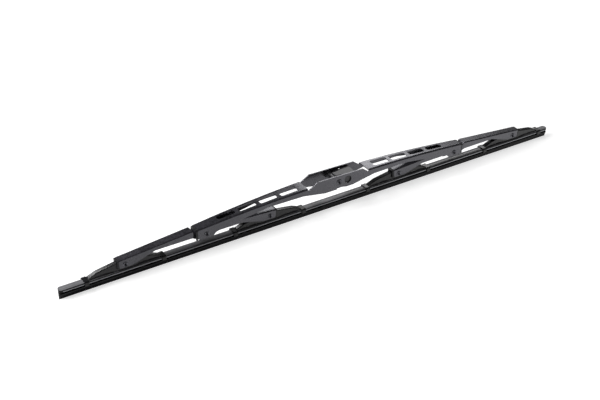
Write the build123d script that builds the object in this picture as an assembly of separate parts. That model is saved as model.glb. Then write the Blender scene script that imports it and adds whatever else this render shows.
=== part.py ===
"""Bracket-type wiper blade: a pressed steel frame whose levers share the arm's load between eight claws.

Lengths are in millimetres. Places along the blade are measured from the centre rivet, heights from the
rubber's lip. The finished part is written with the centre rivet's axis as its origin, +X along the blade.
"""

import os
from math import sqrt

from build123d import *

# The rubber strip, and how far its middle lies from the centre rivet
RUBBER_LENGTH = 600.0
RUBBER_SHIFT = -6.4
RUBBER_CORNER = 3.5

# The rubber's section: half widths, and heights above the lip
LIP_HALF = 0.4
WEDGE_HALF = 1.5
NECK_HALF = 0.6
WING_HALF = 3.0
WEB_HALF = 1.2
FLANGE_HALF = 3.3
HEAD_HALF = 3.9
LIP_LAND_TOP = 1.2
WEDGE_TOP = 4.2
NECK_TOP = 5.3
WING_TOP = 6.4
FLANGE_BOTTOM = 8.5
GROOVE_BOTTOM = 9.3
HEAD_TOP = 11.4
HEAD_BEVEL = 0.5
RUBBER_STEP = 0.3

# The two spring-steel rails in the head's side grooves
RAIL_WIDTH = 3.0
RAIL_THICKNESS = 0.9
RAIL_PROUD = 1.3
RAIL_TIP_RADIUS = 1.0
RAIL_NOTCH_DEPTH = 0.5
RAIL_CLEARANCE = 0.05

# Pivots: places along the blade and heights above the lip
CENTRE_RIVET_HEIGHT = 34.5
YOKE_RIVET_X = 153.8
YOKE_RIVET_HEIGHT = 22.6
OUTER_LEVER_X = 240.5
INNER_LEVER_X = 80.5
LEVER_RIVET_HEIGHT = 17.7

# Main bridge: pressed channel, crowned along its length and tapered in plan
BRIDGE_SHEET = 1.2
BRIDGE_HALF_LENGTH = 163.5
BRIDGE_CENTRE_WIDTH = 18.9
BRIDGE_END_WIDTH = 12.7
BRIDGE_TAPER_START = 45.0
BRIDGE_TOP = 38.8
BRIDGE_CROWN_RADIUS = 1550.0
BRIDGE_SPANS = 4
BRIDGE_BEND = 1.9
BRIDGE_WALL_BOTTOM = 26.5
BRIDGE_ARCH_TOP = 31.4
BRIDGE_ARCH_INNER = 44.0
BRIDGE_ARCH_OUTER = 85.0
BRIDGE_CENTRE_APRON = 17.0
BRIDGE_APRON_LENGTH = 16.5
BRIDGE_APRON_DROP = 4.2
BRIDGE_APRON_STEP = 4.0
BRIDGE_CORNER = 3.0

# Window over the centre rivet, and the cheeks that stand up beside it
WINDOW_LEFT = 38.0
WINDOW_RIGHT = 37.0
CHEEK_LEFT_TOP = 42.6
CHEEK_RIGHT_TOP = 41.4
CHEEK_LEFT_RAMP = 12.0
CHEEK_RIGHT_RAMP = 7.5
CHEEK_CORNER = 3.0
CHEEK_NOTCH_LEFT = 3.5
CHEEK_NOTCH_RIGHT = 9.0
CHEEK_NOTCH_DEPTH = 1.2

# Wind slots through the bridge's top
SLOT_COUNT = 4
SLOT_FIRST = 57.0
SLOT_PITCH = 24.0
SLOT_LENGTH = 20.0
SLOT_MARGIN = 4.0
SLOT_CORNER = 2.0

# Yokes: wide outside the bridge, necked where they run inside it
YOKE_SHEET = 1.0
YOKE_SHOULDER_GAP = 5.5
YOKE_SHOULDER_WIDTH = 10.6
YOKE_SHOULDER_TOP = 30.0
YOKE_SHOULDER_RAMP = 3.2
YOKE_NECK_WIDTH = 8.4
YOKE_NECK_RISE = 4.4
YOKE_NECK_DROP = 2.8
YOKE_NECK_INNER = 15.0
YOKE_FLARE_LENGTH = 34.0
YOKE_OVERHANG = 6.6
YOKE_END_TOP = 23.3
YOKE_WALL_BOTTOM = 22.2
YOKE_INNER_WALL_BOTTOM = 20.8
YOKE_APRON_BOTTOM = 14.4
YOKE_APRON_REACH = 7.5
YOKE_APRON_RUN = 24.0
YOKE_BEND = 1.3
YOKE_CORNER = 2.5
JOGGLE_STEPS = 5

# Claw levers: four alike, one claw at each end
LEVER_SHEET = 1.0
LEVER_WIDTH = 5.6
LEVER_RISE = 3.2
LEVER_CREST_HALF = 5.0
LEVER_STEP = 1.0
LEVER_KNEE_LENGTH = 9.0
LEVER_KNEE_RISE = 4.4
LEVER_BEND = 0.9
LEVER_FLARE_HALF = 4.2
LEVER_ARCH_START = 10.0
LEVER_ARCH_RISE = 1.4
CLAW_SPAN = 80.5
CLAW_LENGTH = 4.5
CLAW_SHEET = 1.0
CLAW_BEND = 1.7
CLAW_MOUTH = 4.6
CLAW_RAMP = 0.7
CLAW_SIDE_CLEARANCE = 0.15
CLAW_TOP_CLEARANCE = 0.3
CLAW_HOOK_CLEARANCE = 0.2

# Plastic liners between the channels at the pivots
LINER_WALL = 0.7
LINER_LIP = 1.6
LINER_LIP_INSET = 0.25
LINER_CLEARANCE = 0.15
LINER_SEAT = 0.05

# Semi-tubular rivets: a formed hollow end on the front, a domed head on the rear
RIVET_RADIUS = 1.5
RIVET_HEAD_RADIUS = 2.6
RIVET_HEAD_HEIGHT = 0.8
RIVET_BORE_RADIUS = 1.05
RIVET_BORE_DEPTH = 4.5
CENTRE_RIVET_RADIUS = 2.4
CENTRE_HEAD_RADIUS = 3.2
CENTRE_BORE_RADIUS = 1.3
RIVET_SEAT = 0.02
RIVET_RUNNING = 0.06

# Spacer bush on the centre rivet, and the arm adapter that turns on it
BUSH_RADIUS = 3.3
BUSH_END_GAP = 0.05
ADAPTER_NOSE_RADIUS = 5.0
ADAPTER_NOSE_WIDTH = 7.4
ADAPTER_WALL = 1.6
ADAPTER_SIDE_GAP = 0.3
ADAPTER_FLARE_START = 6.0
ADAPTER_FLARE_END = 13.0
ADAPTER_END = 21.5
ADAPTER_SIDE_START = 3.6
ADAPTER_SIDE_DROP = 3.6
BOSS_X = 10.0
BOSS_RISE = 0.7
BOSS_RADIUS = 3.0
BOSS_HOLE_RADIUS = 4.2
BOSS_PLAY_X = 0.7
BOSS_PLAY_DOWN = 0.5

# Sizes that follow from the ones above
RAIL_INNER = WEB_HALF + 2 * RAIL_CLEARANCE
RAIL_OUTER = RAIL_INNER + RAIL_WIDTH
GROOVE_TOP = GROOVE_BOTTOM + RAIL_THICKNESS + 2 * RAIL_CLEARANCE
CLAW_UNDERSIDE = HEAD_TOP + CLAW_TOP_CLEARANCE
CLAW_TOP = CLAW_UNDERSIDE + CLAW_SHEET
CLAW_INNER_HALF = RAIL_OUTER + CLAW_SIDE_CLEARANCE
CLAW_OUTER_HALF = CLAW_INNER_HALF + CLAW_SHEET
CLAW_HOOK_TOP = FLANGE_BOTTOM - CLAW_HOOK_CLEARANCE
LEVER_CREST = LEVER_RIVET_HEIGHT + LEVER_RISE
LEVER_HALF = LEVER_WIDTH / 2
YOKE_END_INNER_HALF = LEVER_HALF + LINER_CLEARANCE + LINER_WALL + LINER_SEAT
YOKE_END_HALF = YOKE_END_INNER_HALF + YOKE_SHEET
YOKE_OUTER_END = OUTER_LEVER_X + YOKE_OVERHANG
YOKE_INNER_END = INNER_LEVER_X - YOKE_OVERHANG
YOKE_SHOULDER_X = BRIDGE_HALF_LENGTH + YOKE_SHOULDER_GAP
YOKE_NECK_TOP = YOKE_RIVET_HEIGHT + YOKE_NECK_RISE
YOKE_NECK_BOTTOM = YOKE_RIVET_HEIGHT - YOKE_NECK_DROP
YOKE_NECK_HALF = YOKE_NECK_WIDTH / 2
BRIDGE_APRON_BOTTOM = YOKE_RIVET_HEIGHT - BRIDGE_APRON_DROP
CHEEK_INNER_HALF = BRIDGE_CENTRE_WIDTH / 2 - BRIDGE_SHEET
CHEEK_ROOT = BRIDGE_TOP - BRIDGE_BEND - BRIDGE_SHEET
# Reaches of the cutting solids, and how near counts as the same place
BELOW = -20.0
ABOVE = 60.0
PAST = 10.0
REACH = BRIDGE_CENTRE_WIDTH
SAME_PLACE = 0.1


def bridge_half_width(x):
    """Half the bridge's outside width: level beside the window, then tapering to the ends."""
    taper = (BRIDGE_CENTRE_WIDTH - BRIDGE_END_WIDTH) / 2 / (BRIDGE_HALF_LENGTH - BRIDGE_TAPER_START)
    return BRIDGE_CENTRE_WIDTH / 2 - taper * max(0.0, abs(x) - BRIDGE_TAPER_START)


def bridge_top(x):
    """Height of the bridge's crowned top."""
    return BRIDGE_TOP - BRIDGE_CROWN_RADIUS + sqrt(BRIDGE_CROWN_RADIUS**2 - x**2)


def side_face(*points):
    """Flat outline in side view, from (along, height) points."""
    return Plane.XZ * Polygon(*points, align=None)


def across(face, low=-REACH, high=REACH):
    """Solid of a side-view outline, carried across the blade from y = low to y = high."""
    return Pos(0, high, 0) * extrude(face, high - low, dir=(0, -1, 0))


def upright(face, low=BELOW, high=ABOVE):
    """Solid of a plan-view outline, from one height to another."""
    return Pos(0, 0, low) * extrude(face, high - low, dir=(0, 0, 1))


def cross_bar(x, height, radius, low, high):
    """Round bar across the blade."""
    return Pos(x, (low + high) / 2, height) * Rot(90, 0, 0) * Cylinder(radius, high - low)


def drill(x, height, radius):
    """Round hole through everything across the blade."""
    return cross_bar(x, height, radius, -REACH, REACH)


def both_sides(points):
    """Closed plan outline from the (along, half width) points of one edge."""
    return Polygon(*points, *[(x, -half) for x, half in reversed(points)], align=None)


def section(x, half, top, floor, bend):
    """Cross-section of a channel at one place along the blade, with round bends at its top corners."""
    outline = Pos(0, (floor + top) / 2) * Rectangle(2 * half, top - floor)
    if bend:
        outline = fillet(outline.vertices().group_by(Axis.Y)[-1], bend)
    return Plane.YZ.offset(x) * outline


def channel(stations, sheet, floor, bend):
    """Folded channel, open below, lofted through stations of place, half width and top height."""
    outside = loft([section(x, half, top, floor, bend) for x, half, top in stations], ruled=True)
    first, last = stations[0], stations[-1]
    longer = [(first[0] - PAST, *first[1:]), *stations, (last[0] + PAST, *last[1:])]
    hollow = loft([section(x, half - sheet, top - sheet, BELOW, 0) for x, half, top in longer], ruled=True)
    return outside - hollow


def low_corners(solid, height, *ends):
    """Bottom corners of a channel's walls, at the places where the channel ends."""
    edges = solid.edges().filter_by(Axis.Y).filter_by(lambda e: abs((e @ 0.5).Z - height) < SAME_PLACE)
    return [e for e in edges if min(abs((e @ 0.5).X - x) for x in ends) < SAME_PLACE]


def bridge_stations():
    """Places along the bridge with its half width and crowned top, from left to right."""
    run = (BRIDGE_HALF_LENGTH - BRIDGE_TAPER_START) / BRIDGE_SPANS
    places = [BRIDGE_TAPER_START + i * run for i in range(BRIDGE_SPANS + 1)]
    return [(x, bridge_half_width(x), bridge_top(x)) for x in [-x for x in reversed(places)] + places]


def under_bridge():
    """Space cut away below the bridge's walls: a long arch each side, between centre and end aprons."""
    apron = BRIDGE_HALF_LENGTH - BRIDGE_APRON_LENGTH
    right = [
        (apron, BRIDGE_APRON_BOTTOM),
        (apron - BRIDGE_APRON_STEP, BRIDGE_APRON_BOTTOM + BRIDGE_APRON_STEP),
        (BRIDGE_ARCH_OUTER, BRIDGE_ARCH_TOP),
        (BRIDGE_ARCH_INNER, BRIDGE_ARCH_TOP),
        (BRIDGE_CENTRE_APRON, BRIDGE_WALL_BOTTOM),
    ]
    left = [(-x, z) for x, z in reversed(right)]
    outline = Polygon((apron, BELOW), *right, *left, (-apron, BELOW), align=None)
    bends = outline.vertices().filter_by(lambda v: v.Y > BRIDGE_APRON_BOTTOM + SAME_PLACE)
    return across(Plane.XZ * fillet(bends, BRIDGE_APRON_STEP))


def cheek_outline():
    """Raised cheek beside the window, in side view, ramping up from a relief at each end of it."""
    outline = Polygon(
        (-WINDOW_LEFT, CHEEK_ROOT - BRIDGE_SHEET),
        (-WINDOW_LEFT, CHEEK_ROOT),
        (CHEEK_LEFT_RAMP - WINDOW_LEFT, CHEEK_LEFT_TOP),
        (WINDOW_RIGHT - CHEEK_RIGHT_RAMP, CHEEK_RIGHT_TOP),
        (WINDOW_RIGHT, CHEEK_ROOT),
        (WINDOW_RIGHT, CHEEK_ROOT - BRIDGE_SHEET),
        align=None,
    )
    corners = outline.vertices().filter_by(lambda v: v.Y > BRIDGE_TOP)
    return Plane.XZ * fillet(corners, CHEEK_CORNER)


def make_bridge():
    """Main bridge: folded channel with slots, window, cheeks and pivot holes."""
    shell = channel(bridge_stations(), BRIDGE_SHEET, BRIDGE_APRON_BOTTOM, BRIDGE_BEND) - under_bridge()
    ends = low_corners(shell, BRIDGE_APRON_BOTTOM, -BRIDGE_HALF_LENGTH, BRIDGE_HALF_LENGTH)
    shell = fillet(ends, BRIDGE_CORNER)
    window = Polygon(
        (-WINDOW_LEFT, -CHEEK_INNER_HALF),
        (WINDOW_RIGHT, -CHEEK_INNER_HALF),
        (WINDOW_RIGHT, CHEEK_INNER_HALF),
        (-WINDOW_LEFT, CHEEK_INNER_HALF),
        align=None,
    )
    shell -= upright(window, BRIDGE_WALL_BOTTOM)
    relief = side_face(
        (-WINDOW_LEFT, CHEEK_ROOT),
        (WINDOW_RIGHT, CHEEK_ROOT),
        (WINDOW_RIGHT, ABOVE),
        (-WINDOW_LEFT, ABOVE),
    )
    shell -= across(relief)
    for side in (-1, 1):
        faces = sorted((side * CHEEK_INNER_HALF, side * BRIDGE_CENTRE_WIDTH / 2))
        shell += across(cheek_outline(), *faces)
        for i in range(SLOT_COUNT):
            x = SLOT_FIRST + i * SLOT_PITCH
            slot = RectangleRounded(SLOT_LENGTH, 2 * (bridge_half_width(x) - SLOT_MARGIN), SLOT_CORNER)
            shell -= upright(Pos(side * x, 0) * slot, BRIDGE_APRON_BOTTOM)
    notch = side_face(
        (-CHEEK_NOTCH_LEFT, BELOW),
        (-CHEEK_NOTCH_LEFT, BRIDGE_WALL_BOTTOM),
        (CHEEK_NOTCH_DEPTH - CHEEK_NOTCH_LEFT, BRIDGE_WALL_BOTTOM + CHEEK_NOTCH_DEPTH),
        (CHEEK_NOTCH_LEFT, BRIDGE_WALL_BOTTOM + CHEEK_NOTCH_DEPTH),
        (CHEEK_NOTCH_RIGHT, BRIDGE_WALL_BOTTOM),
        (CHEEK_NOTCH_RIGHT, BELOW),
    )
    shell -= across(notch)
    shell -= drill(0, CENTRE_RIVET_HEIGHT, CENTRE_RIVET_RADIUS + RIVET_SEAT)
    boss_height = CENTRE_RIVET_HEIGHT + BOSS_RISE
    shell -= drill(BOSS_X + BOSS_PLAY_X, boss_height - BOSS_PLAY_DOWN, BOSS_HOLE_RADIUS)
    for side in (-1, 1):
        shell -= drill(side * YOKE_RIVET_X, YOKE_RIVET_HEIGHT, RIVET_RADIUS + RIVET_SEAT)
    return shell


def yoke_stations():
    """Places along the right-hand yoke with its half width and top, from its inner end outwards."""
    neck = YOKE_RIVET_X - YOKE_NECK_INNER
    flare = neck - YOKE_FLARE_LENGTH
    inner_slope = (YOKE_NECK_TOP - YOKE_END_TOP) / (neck - YOKE_INNER_END)
    outer_slope = (YOKE_SHOULDER_TOP - YOKE_END_TOP) / (YOKE_OUTER_END - YOKE_SHOULDER_X)
    apron = OUTER_LEVER_X - YOKE_APRON_REACH
    stations = [
        (YOKE_INNER_END, YOKE_END_HALF, YOKE_END_TOP),
        (flare, YOKE_END_HALF, YOKE_NECK_TOP - inner_slope * (neck - flare)),
        (neck, YOKE_NECK_HALF, YOKE_NECK_TOP),
    ]
    for i in range(JOGGLE_STEPS + 1):
        along = i / JOGGLE_STEPS
        rise = along**2 * (3 - 2 * along)
        x = YOKE_SHOULDER_X - (1 - along) * YOKE_SHOULDER_RAMP
        half = YOKE_NECK_HALF + rise * (YOKE_SHOULDER_WIDTH / 2 - YOKE_NECK_HALF)
        stations.append((x, half, YOKE_NECK_TOP + rise * (YOKE_SHOULDER_TOP - YOKE_NECK_TOP)))
    stations.append((apron, YOKE_END_HALF, YOKE_END_TOP + outer_slope * (YOKE_OUTER_END - apron)))
    stations.append((YOKE_OUTER_END, YOKE_END_HALF, YOKE_END_TOP))
    return stations


def under_yoke():
    """Space cut away below the yoke's walls, leaving an apron at each of its three pivots."""
    neck = YOKE_RIVET_X - YOKE_NECK_INNER
    outer_apron = OUTER_LEVER_X - YOKE_APRON_REACH
    inner_apron = INNER_LEVER_X + YOKE_APRON_REACH
    outline = Polygon(
        (YOKE_INNER_END - PAST, BELOW),
        (YOKE_INNER_END - PAST, YOKE_APRON_BOTTOM),
        (inner_apron, YOKE_APRON_BOTTOM),
        (inner_apron + YOKE_APRON_RUN, YOKE_INNER_WALL_BOTTOM),
        (neck, YOKE_INNER_WALL_BOTTOM),
        (neck + YOKE_NECK_DROP, YOKE_NECK_BOTTOM),
        (2 * YOKE_RIVET_X - neck - YOKE_NECK_DROP, YOKE_NECK_BOTTOM),
        (YOKE_SHOULDER_X, YOKE_WALL_BOTTOM),
        (outer_apron - YOKE_APRON_RUN, YOKE_WALL_BOTTOM),
        (outer_apron, YOKE_APRON_BOTTOM),
        (YOKE_OUTER_END + PAST, YOKE_APRON_BOTTOM),
        (YOKE_OUTER_END + PAST, BELOW),
        align=None,
    )
    bends = outline.vertices().filter_by(lambda v: YOKE_INNER_END < v.X < YOKE_OUTER_END)
    return across(Plane.XZ * fillet(bends, YOKE_NECK_DROP))


def make_yoke():
    """Right-hand yoke, from the inner claw lever's pivot out to the outer one's."""
    yoke = channel(yoke_stations(), YOKE_SHEET, YOKE_APRON_BOTTOM, YOKE_BEND) - under_yoke()
    yoke = fillet(low_corners(yoke, YOKE_APRON_BOTTOM, YOKE_INNER_END, YOKE_OUTER_END), YOKE_CORNER)
    for x in (INNER_LEVER_X, OUTER_LEVER_X):
        yoke -= drill(x, LEVER_RIVET_HEIGHT, RIVET_RADIUS + RIVET_SEAT)
    return yoke - drill(YOKE_RIVET_X, YOKE_RIVET_HEIGHT, RIVET_RADIUS + RIVET_RUNNING)


def lever_stations():
    """Places along a claw lever with its half width and top: crest over the pivot, knee, claw."""
    claw = (CLAW_SPAN - CLAW_LENGTH) / 2
    right = [
        (LEVER_CREST_HALF, LEVER_HALF, LEVER_CREST),
        (claw - LEVER_KNEE_LENGTH, LEVER_HALF, CLAW_TOP + LEVER_KNEE_RISE),
        (claw - CLAW_RAMP, LEVER_HALF, CLAW_TOP + LEVER_STEP),
        (claw, LEVER_FLARE_HALF, CLAW_TOP),
    ]
    return [(-x, half, top) for x, half, top in reversed(right)] + right


def make_claw(x):
    """One claw: sheet folded down round the strip's head and in under its flanges."""
    height = CLAW_TOP - CLAW_HOOK_TOP + CLAW_SHEET
    middle = CLAW_TOP - height / 2
    outside = RectangleRounded(2 * CLAW_OUTER_HALF, height, CLAW_BEND)
    inside = RectangleRounded(2 * CLAW_INNER_HALF, height - 2 * CLAW_SHEET, CLAW_BEND - CLAW_SHEET)
    mouth = Pos(0, -height / 2) * Rectangle(CLAW_MOUTH, 2 * CLAW_SHEET)
    fold = Plane.YZ * (outside - inside - mouth)
    return Pos(x - CLAW_LENGTH / 2, 0, middle) * extrude(fold, CLAW_LENGTH, dir=(1, 0, 0))


def make_lever():
    """Claw lever about its own pivot: a narrow channel between two claws."""
    lever = channel(lever_stations(), LEVER_SHEET, CLAW_UNDERSIDE, LEVER_BEND)
    low = (CLAW_UNDERSIDE + CLAW_TOP) / 2
    wall_end = (CLAW_SPAN - CLAW_LENGTH) / 2 - CLAW_RAMP
    lever -= upright(both_sides([(-wall_end, REACH), (wall_end, REACH)]), BELOW, low)
    for side in (-1, 1):
        near, far = side * LEVER_ARCH_START, side * wall_end
        arch = ThreePointArc((near, low), ((near + far) / 2, low + LEVER_ARCH_RISE), (far, low))
        lever -= across(Plane.XZ * make_face(arch + Line((far, low), (near, low))))
        lever += make_claw(side * CLAW_SPAN / 2)
    return lever - drill(0, LEVER_RIVET_HEIGHT, RIVET_RADIUS + RIVET_RUNNING)


def make_rubber():
    """Extruded strip: head with rail grooves, claw grooves, wings, thin neck, wedge and lip."""
    edge = [
        (LIP_HALF, 0),
        (LIP_HALF, LIP_LAND_TOP),
        (WEDGE_HALF, WEDGE_TOP - RUBBER_STEP),
        (WEDGE_HALF, WEDGE_TOP),
        (NECK_HALF, WEDGE_TOP + RUBBER_STEP),
        (NECK_HALF, NECK_TOP),
        (WING_HALF, NECK_TOP + RUBBER_STEP),
        (WING_HALF, WING_TOP),
        (WEB_HALF, WING_TOP + RUBBER_STEP),
        (WEB_HALF, FLANGE_BOTTOM),
        (FLANGE_HALF, FLANGE_BOTTOM),
        (FLANGE_HALF, GROOVE_BOTTOM),
        (WEB_HALF, GROOVE_BOTTOM),
        (WEB_HALF, GROOVE_TOP),
        (HEAD_HALF, GROOVE_TOP),
        (HEAD_HALF, HEAD_TOP - HEAD_BEVEL),
        (HEAD_HALF - HEAD_BEVEL, HEAD_TOP),
    ]
    profile = Plane.YZ * Polygon(*edge, *[(-y, z) for y, z in reversed(edge)], align=None)
    strip = Pos(-RUBBER_LENGTH / 2, 0, 0) * extrude(profile, RUBBER_LENGTH, dir=(1, 0, 0))
    plan = RectangleRounded(RUBBER_LENGTH, 2 * HEAD_HALF, RUBBER_CORNER)
    return Pos(RUBBER_SHIFT, 0, 0) * (strip & upright(plan))


def make_rail():
    """Rear rail: flat strip with rounded tips and a locking notch at each end claw."""
    blank = RectangleRounded(RUBBER_LENGTH + 2 * RAIL_PROUD, RAIL_WIDTH, RAIL_TIP_RADIUS)
    plan = Pos(RUBBER_SHIFT, RAIL_INNER + RAIL_WIDTH / 2) * blank
    for side in (-1, 1):
        end_claw = side * (OUTER_LEVER_X + CLAW_SPAN / 2)
        plan -= Pos(end_claw, RAIL_OUTER) * Rectangle(CLAW_LENGTH, 2 * RAIL_NOTCH_DEPTH)
    bottom = GROOVE_BOTTOM + RAIL_CLEARANCE
    return upright(plan, bottom, bottom + RAIL_THICKNESS)


def make_rivet(x, height, half_grip, radius, head_radius, bore_radius):
    """Semi-tubular rivet across the blade, with its formed hollow end at the front."""
    front = -half_grip - RIVET_HEAD_HEIGHT
    rear = half_grip + RIVET_HEAD_HEIGHT
    roll = RIVET_HEAD_HEIGHT / 2
    outline = Polygon(
        (0, front + RIVET_BORE_DEPTH),
        (bore_radius, front + RIVET_BORE_DEPTH),
        (bore_radius, front),
        (head_radius - roll, front),
        (head_radius, -half_grip),
        (radius, -half_grip),
        (radius, half_grip),
        (head_radius, half_grip),
        (head_radius - RIVET_HEAD_HEIGHT, rear),
        (0, rear),
        align=None,
    )
    return Pos(x, 0, height) * revolve(outline, Axis.Y)


def make_liner(edge, floor, end_half, end_top, sheet, bend, gap_half):
    """Thin channel that lines the end of a folded one, with a lip outside that end.

    The end has its own half width and top; a second channel turns in the gap that is left.
    """
    start, end = edge[0][0], edge[-1][0]
    lip = end + LINER_LIP
    roof = end_top - sheet - 2 * LINER_SEAT
    body = upright(both_sides(edge), floor, roof)
    lip_half = end_half - LINER_LIP_INSET
    body += upright(both_sides([(end, lip_half), (lip, lip_half)]), floor, end_top - LINER_LIP_INSET)
    body = fillet(body.edges().filter_by(Axis.X).group_by(Axis.Z)[-1], bend - LINER_LIP_INSET)
    gap = both_sides([(start - PAST, gap_half), (lip + PAST, gap_half)])
    return body - upright(gap, BELOW, roof - LINER_WALL)


def make_yoke_liner():
    """Liner in the bridge's right-hand end, round the yoke's neck."""
    end = BRIDGE_HALF_LENGTH + LINER_SEAT
    places = (BRIDGE_HALF_LENGTH - BRIDGE_APRON_LENGTH, end)
    edge = [(x, bridge_half_width(x) - BRIDGE_SHEET - LINER_SEAT) for x in places]
    end_size = (BRIDGE_END_WIDTH / 2, bridge_top(end + LINER_LIP), BRIDGE_SHEET, BRIDGE_BEND)
    liner = make_liner(edge, BRIDGE_APRON_BOTTOM, *end_size, YOKE_NECK_HALF + LINER_CLEARANCE)
    return liner - drill(YOKE_RIVET_X, YOKE_RIVET_HEIGHT, RIVET_RADIUS + RIVET_RUNNING)


def make_lever_liner():
    """Liner in a yoke's end, about the claw lever's pivot."""
    half = YOKE_END_INNER_HALF - LINER_SEAT
    edge = [(-YOKE_APRON_REACH, half), (YOKE_OVERHANG + LINER_SEAT, half)]
    end_size = (YOKE_END_HALF, YOKE_END_TOP, YOKE_SHEET, YOKE_BEND)
    liner = make_liner(edge, YOKE_APRON_BOTTOM, *end_size, LEVER_HALF + LINER_CLEARANCE)
    return liner - drill(0, LEVER_RIVET_HEIGHT, RIVET_RADIUS + RIVET_RUNNING)


def make_bush():
    """Spacer tube on the centre rivet, which holds the cheeks apart."""
    half = CHEEK_INNER_HALF - BUSH_END_GAP
    tube = cross_bar(0, CENTRE_RIVET_HEIGHT, BUSH_RADIUS, -half, half)
    return tube - drill(0, CENTRE_RIVET_HEIGHT, CENTRE_RIVET_RADIUS + RIVET_SEAT)


def make_adapter():
    """Moulded clip for the arm's hook: round nose on the bush, flared root, side plates with bosses."""
    top = CENTRE_RIVET_HEIGHT + ADAPTER_NOSE_RADIUS
    bottom = CENTRE_RIVET_HEIGHT - ADAPTER_NOSE_RADIUS
    side_half = CHEEK_INNER_HALF - ADAPTER_SIDE_GAP
    nose_half = ADAPTER_NOSE_WIDTH / 2
    edge = [
        (-ADAPTER_NOSE_RADIUS, nose_half),
        (ADAPTER_FLARE_START, nose_half),
        (ADAPTER_FLARE_END, side_half),
        (ADAPTER_END, side_half),
    ]
    plan = both_sides(edge)
    shoulders = plan.vertices().filter_by(lambda v: 0 < v.X < ADAPTER_END - SAME_PLACE)
    bottle = upright(fillet(shoulders, ADAPTER_FLARE_END - ADAPTER_FLARE_START))
    outline = side_face((0, bottom), (ADAPTER_END, bottom), (ADAPTER_END, top), (0, top))
    loop = across(outline, -side_half, side_half)
    loop += cross_bar(0, CENTRE_RIVET_HEIGHT, ADAPTER_NOSE_RADIUS, -side_half, side_half)
    pocket = side_face(
        (0, bottom + ADAPTER_WALL),
        (ADAPTER_END - ADAPTER_WALL, bottom + ADAPTER_WALL),
        (ADAPTER_END - ADAPTER_WALL, top - ADAPTER_WALL),
        (0, top - ADAPTER_WALL),
    )
    loop -= across(pocket, -side_half, side_half)
    loop += cross_bar(0, CENTRE_RIVET_HEIGHT, ADAPTER_NOSE_RADIUS, -nose_half, nose_half)
    clip = loop & bottle
    plate = side_face(
        (ADAPTER_SIDE_START, CENTRE_RIVET_HEIGHT - ADAPTER_SIDE_DROP),
        (ADAPTER_END - ADAPTER_WALL / 2, bottom + ADAPTER_WALL / 2),
        (ADAPTER_END - ADAPTER_WALL / 2, top - ADAPTER_WALL / 2),
        (ADAPTER_SIDE_START, top - ADAPTER_WALL / 2),
    )
    for side in (-1, 1):
        clip += across(plate, *sorted((side * side_half, side * (side_half - ADAPTER_WALL))))
        clip += cross_bar(
            BOSS_X,
            CENTRE_RIVET_HEIGHT + BOSS_RISE,
            BOSS_RADIUS,
            *sorted((side * side_half, side * (BRIDGE_CENTRE_WIDTH / 2 - ADAPTER_SIDE_GAP))),
        )
    return clip - drill(0, CENTRE_RIVET_HEIGHT, BUSH_RADIUS + RIVET_RUNNING)


def mirrored(solid):
    """The same piece on the other half of the blade."""
    return mirror(solid, Plane.YZ)


def write(name, solid):
    """One piece to its own file, with the centre rivet's axis as the origin."""
    export_step(Pos(0, 0, -CENTRE_RIVET_HEIGHT) * solid, f"parts/{name}.step")


os.makedirs("parts", exist_ok=True)
write("main_bridge", make_bridge())
write("wiper_rubber", make_rubber())
rear_rail = make_rail()
write("rear_rail", rear_rail)
write("front_rail", mirror(rear_rail, Plane.XZ))
write("centre_bush", make_bush())
write("arm_adapter", make_adapter())
centre_grip = BRIDGE_CENTRE_WIDTH / 2 + RIVET_SEAT
write(
    "centre_rivet",
    make_rivet(
        0, CENTRE_RIVET_HEIGHT, centre_grip, CENTRE_RIVET_RADIUS, CENTRE_HEAD_RADIUS, CENTRE_BORE_RADIUS
    ),
)

right_yoke = make_yoke()
right_liner = make_yoke_liner()
write("right_yoke", right_yoke)
write("left_yoke", mirrored(right_yoke))
write("right_yoke_liner", right_liner)
write("left_yoke_liner", mirrored(right_liner))

lever = make_lever()
outward_liner = make_lever_liner()
inward_liner = mirrored(outward_liner)
yoke_grip = bridge_half_width(YOKE_RIVET_X - RIVET_HEAD_RADIUS) + RIVET_SEAT
lever_grip = YOKE_END_HALF + RIVET_SEAT
rivet_form = (RIVET_RADIUS, RIVET_HEAD_RADIUS, RIVET_BORE_RADIUS)
for side, hand in ((-1, "left"), (1, "right")):
    write(f"{hand}_yoke_rivet", make_rivet(side * YOKE_RIVET_X, YOKE_RIVET_HEIGHT, yoke_grip, *rivet_form))
    for place, x in (("outer", OUTER_LEVER_X), ("inner", INNER_LEVER_X)):
        name = f"{hand}_{place}_lever"
        outward = (side > 0) == (place == "outer")
        write(f"{hand}_{place}_claw_lever", Pos(side * x, 0, 0) * lever)
        write(f"{name}_liner", Pos(side * x, 0, 0) * (outward_liner if outward else inward_liner))
        write(f"{name}_rivet", make_rivet(side * x, LEVER_RIVET_HEIGHT, lever_grip, *rivet_form))
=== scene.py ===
import math

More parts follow.
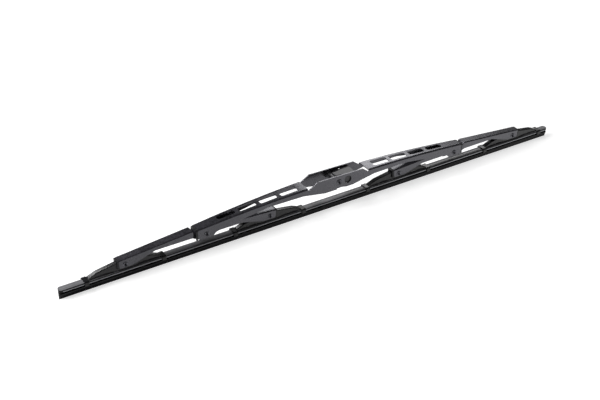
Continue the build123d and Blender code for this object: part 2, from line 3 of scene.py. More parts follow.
import bpy
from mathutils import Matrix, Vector


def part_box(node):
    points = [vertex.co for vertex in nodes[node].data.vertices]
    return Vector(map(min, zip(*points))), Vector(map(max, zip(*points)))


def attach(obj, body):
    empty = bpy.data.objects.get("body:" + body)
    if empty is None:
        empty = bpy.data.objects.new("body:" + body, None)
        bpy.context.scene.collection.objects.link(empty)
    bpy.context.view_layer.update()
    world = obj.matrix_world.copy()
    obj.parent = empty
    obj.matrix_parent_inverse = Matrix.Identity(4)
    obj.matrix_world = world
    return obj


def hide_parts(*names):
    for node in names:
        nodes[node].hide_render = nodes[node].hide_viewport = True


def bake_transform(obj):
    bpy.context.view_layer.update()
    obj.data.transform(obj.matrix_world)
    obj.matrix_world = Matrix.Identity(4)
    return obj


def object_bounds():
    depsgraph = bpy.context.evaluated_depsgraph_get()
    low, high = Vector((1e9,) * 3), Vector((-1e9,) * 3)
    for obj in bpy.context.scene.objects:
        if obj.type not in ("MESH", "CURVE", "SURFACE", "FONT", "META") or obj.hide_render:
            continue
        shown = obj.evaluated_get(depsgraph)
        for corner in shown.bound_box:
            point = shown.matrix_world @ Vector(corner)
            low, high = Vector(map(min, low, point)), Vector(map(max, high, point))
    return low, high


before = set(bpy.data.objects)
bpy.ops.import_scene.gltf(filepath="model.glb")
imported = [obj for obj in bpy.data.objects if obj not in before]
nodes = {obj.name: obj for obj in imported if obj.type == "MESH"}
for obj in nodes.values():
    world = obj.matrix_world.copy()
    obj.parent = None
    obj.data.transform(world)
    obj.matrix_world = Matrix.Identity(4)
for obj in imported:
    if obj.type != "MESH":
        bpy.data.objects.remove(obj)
cad_low, cad_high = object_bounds()

# Wiper rubber: one extruded strip of natural rubber, cut to length with its corners rounded off.
# A thin neck under the head lets the wedge and its lip flip over at each turn of the sweep.
# It follows the claws that hold it, so it is swept in spans from one lever to the next.

RUBBER_HALF_SECTION_MM = (
    (0.40, 0.00), (0.40, 1.20), (1.50, 3.90), (1.50, 4.20), (0.60, 4.50), (0.60, 5.30),
    (3.00, 5.60), (3.00, 6.40), (1.20, 6.70), (1.20, 8.50), (3.30, 8.50), (3.30, 9.30),
    (1.20, 9.30), (1.20, 10.30), (3.90, 10.30), (3.90, 10.90), (3.70, 11.25), (3.40, 11.40),
)
RUBBER_CORNER_MM = 3.5
# Heights above the lip over which the head's top turns to its painted sheen grey.
TOP_SHEEN_START_MM = 11.1
TOP_SHEEN_FULL_MM = 11.4
RUBBER_PATCH_MM = 18
DIE_LINE_MM = 0.7
DIE_LINE_LENGTH_MM = 90
lip_height = cad_low.z


def paint(code):
    """A colour written as sRGB hex, in linear light."""
    parts = [int(code[i:i + 2], 16) / 255 for i in (1, 3, 5)]
    return [p / 12.92 if p <= 0.04045 else ((p + 0.055) / 1.055) ** 2.4 for p in parts] + [1.0]


def feed(tree, node, inputs):
    """Fills a node's inputs; each is a value or another node's socket."""
    for key, value in inputs.items():
        if isinstance(value, bpy.types.NodeSocket):
            tree.links.new(value, node.inputs[key])
        else:
            node.inputs[key].default_value = value


def add(tree, kind, inputs=None, stops=(), **settings):
    """One node of a tree with its inputs and settings; stops are a ramp's places and hex colours."""
    made = tree.nodes.new(kind)
    for name, value in settings.items():
        setattr(made, name, value)
    for number, (position, code) in enumerate(stops):
        made.color_ramp.elements[number].position = position
        made.color_ramp.elements[number].color = paint(code)
    feed(tree, made, inputs or {})
    return made


def finish_of(name):
    """A new material: its tree, its shader and the object's own coordinates in metres."""
    material = bpy.data.materials.new(name)
    material.use_nodes = True
    tree = material.node_tree
    return material, tree, tree.nodes["Principled BSDF"], add(tree, "ShaderNodeTexCoord").outputs["Object"]


# Extruded rubber with a graphite dusting: black with a soft shine, and faint die lines along its
# length. The head's top carries a painted sheen: its colour turns a soft grey there, for the light it
# catches. The real lines are about 0.1 mm apart and are drawn at 0.7 mm so that they show.
rubber, tree, shader, place = finish_of("graphite_coated_rubber")
lines = add(tree, "ShaderNodeMapping", {
    "Vector": place, "Scale": (1000 / DIE_LINE_LENGTH_MM, 1000 / DIE_LINE_MM, 1000 / DIE_LINE_MM)})
grain = add(tree, "ShaderNodeTexNoise", {"Vector": lines.outputs[0], "Scale": 1.0, "Detail": 3.0})
rubber_patches = add(tree, "ShaderNodeTexNoise", {
    "Vector": place, "Scale": 1000 / RUBBER_PATCH_MM, "Detail": 4.0})
dust = add(tree, "ShaderNodeMix", {"Factor": 0.4, "A": grain.outputs["Fac"], "B": rubber_patches.outputs["Fac"]})
black = add(tree, "ShaderNodeValToRGB", {"Fac": dust.outputs["Result"]},
            stops=((0.35, "#161618"), (0.70, "#262629")))
# Painted sheen: the soft grey that the head's top is coloured, for the light it catches.
grey = add(tree, "ShaderNodeValToRGB", {"Fac": dust.outputs["Result"]},
           stops=((0.35, "#636366"), (0.70, "#8f8f92")))
height = add(tree, "ShaderNodeAttribute", attribute_name="section_height")
# Painted sheen mask: the head's top is coloured grey above these heights.
painted_top_sheen = add(tree, "ShaderNodeMapRange", {
    "Value": height.outputs["Fac"],
    "From Min": lip_height + TOP_SHEEN_START_MM / 1000,
    "From Max": lip_height + TOP_SHEEN_FULL_MM / 1000})
colour = add(tree, "ShaderNodeMix", {
    "Factor": painted_top_sheen.outputs[0], "A": black.outputs[0], "B": grey.outputs[0]}, data_type="RGBA")
sheen = add(tree, "ShaderNodeMapRange", {"Value": dust.outputs["Result"], "To Min": 0.22, "To Max": 0.32})
relief = add(tree, "ShaderNodeBump", {
    "Height": grain.outputs["Fac"], "Strength": 0.05, "Distance": 0.0001})
feed(tree, shader, {
    "Base Color": colour.outputs["Result"], "Roughness": sheen.outputs[0], "Normal": relief.outputs[0],
    "IOR": 1.52, "Specular IOR Level": 0.36})


def tree_of(name, inputs, output):
    """A new Geometry Nodes tree with named inputs and one output, and the sockets of its inputs."""
    made = bpy.data.node_groups.new(name, "GeometryNodeTree")
    for socket, kind in inputs.items():
        made.interface.new_socket(socket, in_out="INPUT", socket_type=f"NodeSocket{kind}")
    made.interface.new_socket(output, in_out="OUTPUT", socket_type="NodeSocketGeometry")
    return made, add(made, "NodeGroupInput").outputs


# The sweep: a drawn section is carried along the blade, with stations that crowd towards the tip,
# and the plan is rounded there by drawing the section's points in towards the middle.
sweep, given = tree_of("strip_sweep", {
    "Section": "Geometry", "Start": "Float", "End": "Float", "Crowding": "Float", "Corner": "Float",
    "Middle": "Float", "Half Width": "Float", "Stations": "Int", "Material": "Material"}, "Strip")
unit = add(sweep, "GeometryNodeCurvePrimitiveLine", {"Start": (0, 0, 0), "End": (1, 0, 0)})
stations = add(sweep, "GeometryNodeResampleCurve", {"Curve": unit.outputs[0], "Count": given["Stations"]})
point = add(sweep, "ShaderNodeSeparateXYZ", {0: add(sweep, "GeometryNodeInputPosition").outputs[0]})
crowded = add(sweep, "ShaderNodeMath", {0: point.outputs["X"], 1: given["Crowding"]}, operation="POWER")
reach = add(sweep, "ShaderNodeMapRange", {
    "Value": crowded.outputs[0], "To Min": given["Start"], "To Max": given["End"]})
spot = add(sweep, "ShaderNodeCombineXYZ", {"X": reach.outputs[0]})
path = add(sweep, "GeometryNodeSetPosition", {
    "Geometry": stations.outputs[0], "Position": spot.outputs[0]})
section = add(sweep, "GeometryNodeMeshToCurve", {"Mesh": given["Section"]})
upright = add(sweep, "GeometryNodeSetCurveNormal", {"Curve": path.outputs[0]}, mode="Z_UP")
swept = add(sweep, "GeometryNodeCurveToMesh", {
    "Curve": upright.outputs[0], "Profile Curve": section.outputs[0], "Fill Caps": True})
from_tip = add(sweep, "ShaderNodeMath", {0: point.outputs["X"], 1: given["Start"]}, operation="SUBTRACT")
depth = add(sweep, "ShaderNodeMath", {0: from_tip.outputs[0]}, operation="ABSOLUTE")
short = add(sweep, "ShaderNodeMath", {0: given["Corner"], 1: depth.outputs[0]}, operation="SUBTRACT")
inside = add(sweep, "ShaderNodeMath", {0: short.outputs[0], 1: 0.0}, operation="MAXIMUM")
inside_squared = add(sweep, "ShaderNodeMath", {0: inside.outputs[0], 1: 2.0}, operation="POWER")
corner_squared = add(sweep, "ShaderNodeMath", {0: given["Corner"], 1: 2.0}, operation="POWER")
chord = add(sweep, "ShaderNodeMath", {
    0: corner_squared.outputs[0], 1: inside_squared.outputs[0]}, operation="SUBTRACT")
arc = add(sweep, "ShaderNodeMath", {0: chord.outputs[0]}, operation="SQRT")
flat_end = add(sweep, "ShaderNodeMath", {0: given["Half Width"], 1: given["Corner"]}, operation="SUBTRACT")
room = add(sweep, "ShaderNodeMath", {0: flat_end.outputs[0], 1: arc.outputs[0]}, operation="ADD")
spread = add(sweep, "ShaderNodeMath", {0: point.outputs["Y"]}, operation="ABSOLUTE")
offset = add(sweep, "ShaderNodeMath", {0: spread.outputs[0], 1: given["Middle"]}, operation="SUBTRACT")
least = add(sweep, "ShaderNodeMath", {0: room.outputs[0], 1: -1.0}, operation="MULTIPLY")
held = add(sweep, "ShaderNodeClamp", {
    "Value": offset.outputs[0], "Min": least.outputs[0], "Max": room.outputs[0]})
width = add(sweep, "ShaderNodeMath", {0: held.outputs[0], 1: given["Middle"]}, operation="ADD")
side = add(sweep, "ShaderNodeMath", {0: point.outputs["Y"]}, operation="SIGN")
drawn_in = add(sweep, "ShaderNodeMath", {0: width.outputs[0], 1: side.outputs[0]}, operation="MULTIPLY")
rounded = add(sweep, "ShaderNodeCombineXYZ", {
    "X": point.outputs["X"], "Y": drawn_in.outputs[0], "Z": point.outputs["Z"]})
tipped = add(sweep, "GeometryNodeSetPosition", {
    "Geometry": swept.outputs[0], "Position": rounded.outputs[0]})
marked = add(sweep, "GeometryNodeStoreNamedAttribute", {
    "Geometry": tipped.outputs[0], "Name": "section_height", "Value": point.outputs["Z"]})
solid = add(sweep, "GeometryNodeRealizeInstances", {0: marked.outputs[0]})
coated = add(sweep, "GeometryNodeSetMaterial", {0: solid.outputs[0], "Material": given["Material"]})
add(sweep, "NodeGroupOutput", {0: coated.outputs[0]})

SHARP_DEG = 32


def grown(name, tree, loops, inputs, closed=True):
    """A plain mesh that a tree grows from drawn loops or lines of points, given in metres."""
    points = [p for loop in loops for p in loop]
    edges, first = [], 0
    for loop in loops:
        edges += [(first + i, first + (i + 1) % len(loop)) for i in range(len(loop) - (not closed))]
        first += len(loop)
    drawn = bpy.data.meshes.new(name)
    drawn.from_pydata(points, edges, [])
    piece = bpy.data.objects.new(name, drawn)
    bpy.context.scene.collection.objects.link(piece)
    growth = piece.modifiers.new("growth", "NODES")
    growth.node_group = tree
    for socket in tree.interface.items_tree:
        if socket.name in inputs:
            growth[socket.identifier] = inputs[socket.name]
    evaluated = piece.evaluated_get(bpy.context.evaluated_depsgraph_get())
    finished = bpy.data.meshes.new_from_object(evaluated)
    piece.modifiers.remove(growth)
    piece.data = finished
    finished.name = name
    finished.shade_smooth()
    finished.set_sharp_from_angle(angle=math.radians(SHARP_DEG))
    return piece


# Spans of one half, from the tip to the middle, in millimetres from the centre rivet: the two ends,
# the bodies that the span lies between, and the stretch listed for its bend. A tip has more stations,
# and they crowd towards its end, where the corners are.
SPANS = (
    ("tip", None, 160.5, "{}_outer_lever", "{}_yoke", 198.0, 163.0),
    ("outer", 160.5, 80.5, "{}_yoke", "{}_inner_lever", 158.0, 123.0),
    ("inner", 80.5, 26.0, "{}_inner_lever", "{}_yoke", 38.5, 26.0),
    ("middle", 26.0, 0.0, "{}_yoke", "bridge", 26.0, 1.0),
)
TIP_CROWDING = 2.0
TIP_STATIONS = 110
SPAN_STATIONS = 28


def strip_spans(name, loops, ends, finish, replaced, corner, half, middle=0.0):
    """The spans of a strip on both halves of the blade, each between two bodies."""
    for hand, sign, end in (("left", -1, ends[0]), ("right", 1, ends[1])):
        for span, start, stop, body_a, body_b, bend_from, bend_to in SPANS:
            tip = start is None
            piece = grown(f"{hand}_{span}_{name}", sweep, loops, {
                "Start": end if tip else sign * start / 1000,
                "End": sign * stop / 1000,
                "Crowding": TIP_CROWDING if tip else 1.0,
                "Corner": corner if tip else 0.0,
                "Middle": middle,
                "Half Width": half,
                "Stations": TIP_STATIONS if tip else SPAN_STATIONS,
                "Material": finish,
            })
            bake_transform(piece)
            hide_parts(*replaced)


rubber_half = [(y / 1000, lip_height + z / 1000) for y, z in RUBBER_HALF_SECTION_MM]
rubber_loop = [(-y, -z, 0) for y, z in rubber_half] + [(y, -z, 0) for y, z in reversed(rubber_half)]
strip_spans("rubber", [rubber_loop], (cad_low.x, cad_high.x), rubber, ["wiper_rubber"],
            corner=RUBBER_CORNER_MM / 1000, half=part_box("wiper_rubber")[1].y)

# Rails: two flat strips of spring steel that slide into the head's side grooves and stiffen it.
# They are rolled, cut to length with their edges broken, and held in by the claws. They stop a little
# short of the rubber's rounded ends.

RAIL_SETBACK_MM = 3.5
RAIL_CORNER_MM = 1.0
RAIL_EDGE_MM = 0.08
ROLLING_LINE_MM = 0.5
ROLLING_LINE_LENGTH_MM = 120

# Rolled spring steel: grey and half bright, with fine rolling lines along the strip. The lines are
# about 0.05 mm wide and are drawn at 0.5 mm so that they show.
spring_steel, tree, shader, place = finish_of("rolled_spring_steel")
lines = add(tree, "ShaderNodeMapping", {
    "Vector": place,
    "Scale": (1000 / ROLLING_LINE_LENGTH_MM, 1000 / ROLLING_LINE_MM, 1000 / ROLLING_LINE_MM)})
rolled = add(tree, "ShaderNodeTexNoise", {"Vector": lines.outputs[0], "Scale": 1.0, "Detail": 3.0})
tint = add(tree, "ShaderNodeValToRGB", {"Fac": rolled.outputs["Fac"]},
           stops=((0.3, "#898a8e"), (0.7, "#adaeb2")))
sheen = add(tree, "ShaderNodeMapRange", {"Value": rolled.outputs["Fac"], "To Min": 0.28, "To Max": 0.42})
feed(tree, shader, {"Base Color": tint.outputs[0], "Roughness": sheen.outputs[0], "Metallic": 1.0})

rail_low, rail_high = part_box("rear_rail")
edge = RAIL_EDGE_MM / 1000
rail_loop = [
    (rail_low.y + edge, rail_low.z), (rail_high.y - edge, rail_low.z),
    (rail_high.y, rail_low.z + edge), (rail_high.y, rail_high.z - edge),
    (rail_high.y - edge, rail_high.z), (rail_low.y + edge, rail_high.z),
    (rail_low.y, rail_high.z - edge), (rail_low.y, rail_low.z + edge),
]
rail_loops = [[(-y, -z, 0) for y, z in rail_loop], [(y, -z, 0) for y, z in reversed(rail_loop)]]
rail_ends = (cad_low.x + RAIL_SETBACK_MM / 1000, cad_high.x - RAIL_SETBACK_MM / 1000)
strip_spans("rails", rail_loops, rail_ends, spring_steel, ["rear_rail", "front_rail"],
            corner=RAIL_CORNER_MM / 1000, half=(rail_high.y - rail_low.y) / 2,
            middle=(rail_low.y + rail_high.y) / 2)

# Claw levers: four pressed steel channels that turn on rivets in the yokes' ends. Each end is folded
# down and in round the rubber's head to make a claw. They are stamped, folded and painted black.

LEVER_EDGE_MM = 0.15
DIP_TEXTURE_MM = 0.8
DIP_PATCH_MM = 20

# Dip paint on pressed steel: black, a little duller than the enamel of the frame above it, with a fine
# even texture about 0.3 mm across, drawn at 0.8 mm so that it shows, and a little dust in places.
dip, tree, shader, place = finish_of("black_dip_paint")
texture = add(tree, "ShaderNodeTexNoise", {
    "Vector": place, "Scale": 1000 / DIP_TEXTURE_MM, "Detail": 2.0})
patch = add(tree, "ShaderNodeTexNoise", {"Vector": place, "Scale": 1000 / DIP_PATCH_MM, "Detail": 5.0})
tint = add(tree, "ShaderNodeValToRGB", {"Fac": patch.outputs["Fac"]},
           stops=((0.35, "#101012"), (0.75, "#1b1b1d")))
sheen = add(tree, "ShaderNodeMapRange", {"Value": patch.outputs["Fac"], "To Min": 0.22, "To Max": 0.32})
relief = add(tree, "ShaderNodeBump", {
    "Height": texture.outputs["Fac"], "Strength": 0.04, "Distance": 0.0002})
feed(tree, shader, {
    "Base Color": tint.outputs[0], "Roughness": sheen.outputs[0], "Normal": relief.outputs[0],
    "IOR": 1.5})

# Smooth shading over a pressed piece: its triangles are joined, and only its folds and cut edges
# stay sharp.
JOIN_MM = 0.005
pressed, given = tree_of("pressed_surface", {"Triangles": "Geometry", "Crease Angle": "Float"}, "Surface")
plain = add(pressed, "GeometryNodeRemoveAttribute", {"Geometry": given[0], "Name": "custom_normal"})
joined = add(pressed, "GeometryNodeMergeByDistance", {
    "Geometry": plain.outputs[0], "Distance": JOIN_MM / 1000})
smooth = add(pressed, "GeometryNodeSetShadeSmooth", {
    "Geometry": joined.outputs[0], "Shade Smooth": True}, domain="FACE")
angle = add(pressed, "GeometryNodeInputMeshEdgeAngle").outputs["Unsigned Angle"]
gentle = add(pressed, "FunctionNodeCompare", {0: angle, 1: given["Crease Angle"]}, operation="LESS_THAN")
creased = add(pressed, "GeometryNodeSetShadeSmooth", {
    "Geometry": smooth.outputs[0], "Shade Smooth": gentle.outputs[0]}, domain="EDGE")
add(pressed, "NodeGroupOutput", {0: creased.outputs[0]})

CREASE_DEG = 30
CUT_EDGE_DEG = 50


def dress(name, finish, edge_mm=0.0):
    """Gives a carried-over piece its finish, smooth shading and, where it has them, broken edges."""
    piece = nodes[name]
    piece.data.materials.clear()
    piece.data.materials.append(finish)
    shading = piece.modifiers.new("pressed_surface", "NODES")
    shading.node_group = pressed
    for socket in pressed.interface.items_tree:
        if socket.name == "Crease Angle":
            shading[socket.identifier] = math.radians(CREASE_DEG)
    if edge_mm:
        broken = piece.modifiers.new("broken_edges", "BEVEL")
        broken.width = edge_mm / 1000
        broken.segments = 2
        broken.limit_method = "ANGLE"
        broken.angle_limit = math.radians(CUT_EDGE_DEG)
    flats = piece.modifiers.new("flats_stay_flat", "WEIGHTED_NORMAL")
    flats.keep_sharp = True


for hand in ("left", "right"):
    for end in ("outer", "inner"):
        dress(f"{hand}_{end}_claw_lever", dip, LEVER_EDGE_MM)

# Lever liners: thin moulded channels of black acetal pressed into the yokes' ends, so that steel
# doesn't rub on steel. Their lips stand just outside the ends.

SPARK_GRAIN_MM = 0.5

# Moulded acetal: dull black with a fine spark-eroded grain, about 0.1 mm and drawn at 0.5 mm.
acetal, tree, shader, place = finish_of("black_acetal")
spark = add(tree, "ShaderNodeTexNoise", {
    "Vector": place, "Scale": 1000 / SPARK_GRAIN_MM, "Detail": 2.0})
tint = add(tree, "ShaderNodeValToRGB", {"Fac": spark.outputs["Fac"]},
           stops=((0.3, "#131315"), (0.7, "#1e1e20")))
relief = add(tree, "ShaderNodeBump", {
    "Height": spark.outputs["Fac"], "Strength": 0.15, "Distance": 0.0001})
feed(tree, shader, {
    "Base Color": tint.outputs[0], "Normal": relief.outputs[0], "Roughness": 0.48, "IOR": 1.48})

for hand in ("left", "right"):
    for end in ("outer", "inner"):
        dress(f"{hand}_{end}_lever_liner", acetal)

# Yokes: two longer pressed channels, necked where they pass into the bridge's ends, that carry a
# claw lever at each of their own ends. They are stamped, folded and stoved black.

FRAME_EDGE_MM = 0.2
ORANGE_PEEL_MM = 2
ENAMEL_PATCH_MM = 25

# Black stoving enamel on pressed steel: satin black that mirrors bright surroundings softly, with a
# faint violet cast, orange peel about 1 mm across, drawn at 2 mm so that it shows, and a little dust.
enamel, tree, shader, place = finish_of("black_stoving_enamel")
peel = add(tree, "ShaderNodeTexNoise", {"Vector": place, "Scale": 1000 / ORANGE_PEEL_MM, "Detail": 2.0})
patch = add(tree, "ShaderNodeTexNoise", {"Vector": place, "Scale": 1000 / ENAMEL_PATCH_MM, "Detail": 5.0})
mottle = add(tree, "ShaderNodeMix", {"Factor": 0.6, "A": patch.outputs["Fac"], "B": peel.outputs["Fac"]})
tint = add(tree, "ShaderNodeValToRGB", {"Fac": mottle.outputs["Result"]},
           stops=((0.36, "#0d0d10"), (0.66, "#3b3a40")))
sheen = add(tree, "ShaderNodeMapRange", {"Value": patch.outputs["Fac"], "To Min": 0.19, "To Max": 0.28})
relief = add(tree, "ShaderNodeBump", {
    "Height": peel.outputs["Fac"], "Strength": 0.02, "Distance": 0.0004})
feed(tree, shader, {
    "Base Color": tint.outputs[0], "Roughness": sheen.outputs[0], "Normal": relief.outputs[0],
    "IOR": 1.6, "Specular IOR Level": 0.85, "Specular Tint": paint("#f7f6ff")})

for hand in ("left", "right"):
    dress(f"{hand}_yoke", enamel, FRAME_EDGE_MM)

# Main bridge: one blank of steel sheet, slotted to let the wind through, folded to a crowned channel
# and painted. Its cheeks stand up beside the window where the wiper arm's hook goes in, and acetal
# liners like the levers' are pressed into its ends.
dress("main_bridge", enamel, FRAME_EDGE_MM)
for hand in ("left", "right"):
    dress(f"{hand}_yoke_liner", acetal)

# Rivets: semi-tubular steel rivets, blackened. Each is pushed in from the rear, and its hollow end
# is rolled over at the front, which leaves a ring with a dark hole in it.

RIVET_HEAD_MM = 0.8
RIVET_ROLL_MM = 0.4
RIVET_RIM_MM = 0.15
RIVET_BORE_MM = 1.05
RIVET_SHANK_MM = 1.5
BORE_MOUTH_MM = 0.9
BORE_DEPTH_MM = 3.6
BORE_POINT_MM = 4.2
RIVET_FACETS = 40
WORN_PATCH_MM = 1.5

# Blackened steel: dark grey and half bright, worn lighter in small patches where the punch turned it.
blackened, tree, shader, place = finish_of("blackened_steel")
worn = add(tree, "ShaderNodeTexNoise", {"Vector": place, "Scale": 1000 / WORN_PATCH_MM, "Detail": 4.0})
tint = add(tree, "ShaderNodeValToRGB", {"Fac": worn.outputs["Fac"]},
           stops=((0.35, "#55555a"), (0.75, "#87878d")))
sheen = add(tree, "ShaderNodeMapRange", {"Value": worn.outputs["Fac"], "To Min": 0.25, "To Max": 0.42})
feed(tree, shader, {"Base Color": tint.outputs[0], "Roughness": sheen.outputs[0], "Metallic": 0.8})

# The turning: a drawn half section is carried round the rivet's axis, and copies stand in a row. The
# section is carried on a circle of the turning radius, so it is drawn that far inwards.
TURNING_RADIUS = 0.02
POLE_JOIN_MM = 0.004
rivet_row, given = tree_of("rivet_row", {
    "Half Section": "Geometry", "First": "Vector", "Step": "Vector", "Count": "Int", "Facets": "Int",
    "Material": "Material"}, "Rivets")
ring = add(rivet_row, "GeometryNodeCurvePrimitiveCircle", {
    "Resolution": given["Facets"], "Radius": TURNING_RADIUS})
outline = add(rivet_row, "GeometryNodeMeshToCurve", {"Mesh": given["Half Section"]})
turned = add(rivet_row, "GeometryNodeCurveToMesh", {
    "Curve": ring.outputs[0], "Profile Curve": outline.outputs[0]})
closed = add(rivet_row, "GeometryNodeMergeByDistance", {
    "Geometry": turned.outputs[0], "Distance": POLE_JOIN_MM / 1000})
laid = add(rivet_row, "GeometryNodeTransform", {
    "Geometry": closed.outputs[0], "Rotation": (math.pi / 2, 0, 0)})
row = add(rivet_row, "GeometryNodeMeshLine", {
    "Count": given["Count"], "Start Location": given["First"], "Offset": given["Step"]})
copies = add(rivet_row, "GeometryNodeInstanceOnPoints", {
    "Points": row.outputs[0], "Instance": laid.outputs[0]})
solid = add(rivet_row, "GeometryNodeRealizeInstances", {0: copies.outputs[0]})
coated = add(rivet_row, "GeometryNodeSetMaterial", {0: solid.outputs[0], "Material": given["Material"]})
add(rivet_row, "NodeGroupOutput", {0: coated.outputs[0]})


def rivets(name, replaced, body, bore_mm=RIVET_BORE_MM, shank_mm=RIVET_SHANK_MM):
    """The rivets of one size on one body, at the places of the nodes that they stand for."""
    boxes = [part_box(node) for node in replaced]
    places = [(low + high) / 2 for low, high in boxes]
    low, high = boxes[0]
    bore, shank, roll = bore_mm / 1000, shank_mm / 1000, RIVET_ROLL_MM / 1000
    head = (high.z - low.z) / 2
    grip = high.y - places[0].y - RIVET_HEAD_MM / 1000
    front, rear = -grip - RIVET_HEAD_MM / 1000, grip + RIVET_HEAD_MM / 1000
    rim = grip + RIVET_RIM_MM / 1000
    hole = [(0.0, front + BORE_POINT_MM / 1000), (bore, front + BORE_DEPTH_MM / 1000),
            (bore, front + BORE_MOUTH_MM / 1000)]
    rolled_end = [(head - roll + roll * math.sin(a), front + roll - roll * math.cos(a))
                  for a in [math.pi * i / 8 for i in range(-4, 7)]]
    shaft = [(head, -grip), (shank, -grip), (shank, grip), (head, grip)]
    dome = [(head * math.cos(a), rim + (rear - rim) * math.sin(a))
            for a in [math.pi / 2 * i / 8 for i in range(8)]]
    line = [(r - TURNING_RADIUS, y, 0) for r, y in hole + rolled_end + shaft + dome + [(0.0, rear)]]
    step = places[1] - places[0] if len(places) > 1 else Vector((0, 0, 0))
    piece = grown(name, rivet_row, [line], {
        "First": places[0], "Step": step, "Count": len(places), "Facets": RIVET_FACETS,
        "Material": blackened}, closed=False)
    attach(piece, body)
    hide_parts(*replaced)


for hand in ("left", "right"):
    rivets(f"{hand}_lever_rivets", [f"{hand}_{end}_lever_rivet" for end in ("outer", "inner")],
           f"{hand}_yoke")
rivets("yoke_rivets", ["left_yoke_rivet", "right_yoke_rivet"], "bridge")

# Centre bush: a cut length of drawn steel tube on the centre rivet, which keeps the cheeks apart.
# It is zinc-plated, and the adapter turns on it.

DRAWING_MARK_MM = 0.8

# Zinc-plated tube: pale grey and bright, with fine drawing marks.
zinc, tree, shader, place = finish_of("zinc_plated_tube")
drawn = add(tree, "ShaderNodeTexNoise", {"Vector": place, "Scale": 1000 / DRAWING_MARK_MM, "Detail": 3.0})
tint = add(tree, "ShaderNodeValToRGB", {"Fac": drawn.outputs["Fac"]},
           stops=((0.0, "#a2a3a3"), (1.0, "#c2c3c4")))
sheen = add(tree, "ShaderNodeMapRange", {"Value": drawn.outputs["Fac"], "To Min": 0.22, "To Max": 0.38})
feed(tree, shader, {"Base Color": tint.outputs[0], "Roughness": sheen.outputs[0], "Metallic": 1.0})
dress("centre_bush", zinc)

# Arm adapter: a moulded clip that snaps on the bush from above and takes the arm's hook round its
# nose. Its two bosses sit in holes in the cheeks and let it rock a few degrees.

NYLON_GRAIN_MM = 0.5
NYLON_FLOW_MM = 6

# Moulded black nylon: black with a soft shine and a fine grain, about 0.1 mm, drawn at 0.5 mm.
nylon, tree, shader, place = finish_of("black_nylon")
spark = add(tree, "ShaderNodeTexNoise", {"Vector": place, "Scale": 1000 / NYLON_GRAIN_MM, "Detail": 2.0})
flow = add(tree, "ShaderNodeTexNoise", {"Vector": place, "Scale": 1000 / NYLON_FLOW_MM, "Detail": 2.0})
tint = add(tree, "ShaderNodeValToRGB", {"Fac": flow.outputs["Fac"]},
           stops=((0.0, "#17171a"), (1.0, "#232326")))
relief = add(tree, "ShaderNodeBump", {
    "Height": spark.outputs["Fac"], "Strength": 0.04, "Distance": 0.0001})
feed(tree, shader, {
    "Base Color": tint.outputs[0], "Normal": relief.outputs[0], "Roughness": 0.3, "IOR": 1.53})
dress("arm_adapter", nylon)

# Centre rivet: a larger rivet of the same kind and finish, through both cheeks and the bush between
# them. The adapter and the bridge turn about its axis.
CENTRE_BORE_MM = 1.3
CENTRE_SHANK_MM = 2.4
rivets("centre_rivet_formed", ["centre_rivet"], "bridge", CENTRE_BORE_MM, CENTRE_SHANK_MM)

# Studio: a white floor under the lip, an even sky and three soft lights: a large one above to the left,
# a low one behind to the right and a thin one behind to the left. The camera sees the floor white with
# the blade's shadow on it, and gloss mirrors it dimmer towards the left and close to the blade, a
# painted shade in the floor's glow.

FLOOR_REACH = 12.0
FLOOR_GREY = 0.62
SEEN_DISTANCES = (0.35, 1.1)
SEEN_LEVELS = (0.68, 1.0)
MIRRORED_SPAN = (-0.25, 0.22)
MIRRORED_LEVELS = (0.16, 0.80)
SHADED_DISTANCE = 0.03
SHADED_LEVEL = 0.25
SKY_LEVEL = 0.085

corners = [(x * FLOOR_REACH, y * FLOOR_REACH, lip_height) for x, y in ((-1, -1), (1, -1), (1, 1), (-1, 1))]
floor_mesh = bpy.data.meshes.new("studio_floor")
floor_mesh.from_pydata(corners, [], [(0, 1, 2, 3)])
floor = bpy.data.objects.new("studio_floor", floor_mesh)
bpy.context.scene.collection.objects.link(floor)
white = bpy.data.materials.new("studio_white")
white.use_nodes = True
tree = white.node_tree
tree.nodes.clear()
ray = add(tree, "ShaderNodeLightPath")
spot = add(tree, "ShaderNodeTexCoord").outputs["Object"]
away = add(tree, "ShaderNodeVectorMath", {0: spot}, operation="LENGTH")
seen_level = add(tree, "ShaderNodeMapRange", {
    "Value": away.outputs["Value"], "From Min": SEEN_DISTANCES[0], "From Max": SEEN_DISTANCES[1],
    "To Min": SEEN_LEVELS[0], "To Max": SEEN_LEVELS[1]})
where = add(tree, "ShaderNodeSeparateXYZ", {0: spot}).outputs
# Painted shade: the floor's glow in reflections is dimmer towards the left and close to the blade.
along_blade = add(tree, "ShaderNodeMapRange", {
    "Value": where["X"], "From Min": MIRRORED_SPAN[0], "From Max": MIRRORED_SPAN[1],
    "To Min": MIRRORED_LEVELS[0], "To Max": MIRRORED_LEVELS[1]})
from_blade = add(tree, "ShaderNodeMath", {0: where["Y"]}, operation="ABSOLUTE")
shaded = add(tree, "ShaderNodeMapRange", {
    "Value": from_blade.outputs[0], "From Min": 0.0, "From Max": SHADED_DISTANCE,
    "To Min": SHADED_LEVEL, "To Max": 1.0})
mirrored_level = add(tree, "ShaderNodeMath", {
    0: along_blade.outputs[0], 1: shaded.outputs[0]}, operation="MULTIPLY")
seen = add(tree, "ShaderNodeMath", {
    0: ray.outputs["Is Camera Ray"], 1: seen_level.outputs[0]}, operation="MULTIPLY")
glow = add(tree, "ShaderNodeMath", {
    0: ray.outputs["Is Glossy Ray"], 1: mirrored_level.outputs[0], 2: seen.outputs[0]},
    operation="MULTIPLY_ADD")
lit = add(tree, "ShaderNodeBsdfDiffuse", {"Color": (FLOOR_GREY, FLOOR_GREY, FLOOR_GREY, 1)})
lift = add(tree, "ShaderNodeEmission", {"Color": (1, 1, 1, 1), "Strength": glow.outputs[0]})
both = add(tree, "ShaderNodeAddShader", {0: lit.outputs[0], 1: lift.outputs[0]})
add(tree, "ShaderNodeOutputMaterial", {"Surface": both.outputs[0]})
floor.data.materials.append(white)

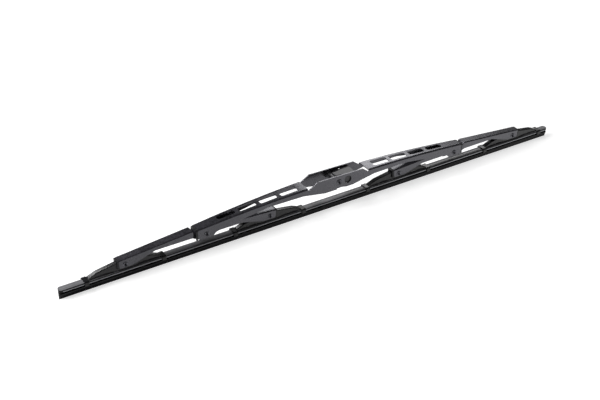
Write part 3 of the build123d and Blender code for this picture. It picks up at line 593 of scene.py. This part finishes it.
world = bpy.data.worlds.new("studio")
bpy.context.scene.world = world
world.use_nodes = True
tree = world.node_tree
tree.nodes.clear()
ray = add(tree, "ShaderNodeLightPath")
level = add(tree, "ShaderNodeMapRange", {
    "Value": ray.outputs["Is Camera Ray"], "To Min": SKY_LEVEL, "To Max": 1.0})
sky = add(tree, "ShaderNodeBackground", {"Color": (1, 1, 1, 1), "Strength": level.outputs[0]})
add(tree, "ShaderNodeOutputWorld", {"Surface": sky.outputs[0]})


def softbox(name, place, aim, size, watts):
    """A rectangular soft light that looks from one place at another."""
    lamp = bpy.data.lights.new(name, "AREA")
    lamp.shape = "RECTANGLE"
    lamp.size, lamp.size_y = size
    lamp.energy = watts
    stand = bpy.data.objects.new(name, lamp)
    stand.location = place
    stand.rotation_euler = (Vector(aim) - Vector(place)).to_track_quat("-Z", "Y").to_euler()
    bpy.context.scene.collection.objects.link(stand)


softbox("left_above", place=(-1.1, 0.35, 1.3), aim=(0, 0, 0), size=(1.2, 1.0), watts=30)
softbox("back_right", place=(1.32, 1.555, 1.14), aim=(0, 0, 0), size=(0.72, 0.40), watts=3.96)
softbox("back_left", place=(-0.48, 1.72, 1.34), aim=(-0.27, 0, 0), size=(0.70, 0.22), watts=6.5)

# Camera: the photograph's viewpoint, with the image taken as 600 by 400. Its place, its aim and its
# focal length in pixels were fitted to the rivets and the claws.
CAMERA_PLACE = (-0.5759, -0.8535, 0.6129)
CAMERA_AIM = (-0.0421, 0, -0.01276)
FOCAL_PX = 1152.1
IMAGE_WIDTH_PX = 600
SENSOR_MM = 36.0
camera = bpy.data.objects.new("camera", bpy.data.cameras.new("camera"))
camera.location = CAMERA_PLACE
camera.rotation_euler = (Vector(CAMERA_AIM) - camera.location).to_track_quat("-Z", "Y").to_euler()
camera.data.sensor_width = SENSOR_MM
camera.data.lens = SENSOR_MM * FOCAL_PX / IMAGE_WIDTH_PX
bpy.context.scene.collection.objects.link(camera)
bpy.context.scene.camera = camera
bpy.context.scene.view_settings.view_transform = "Standard"
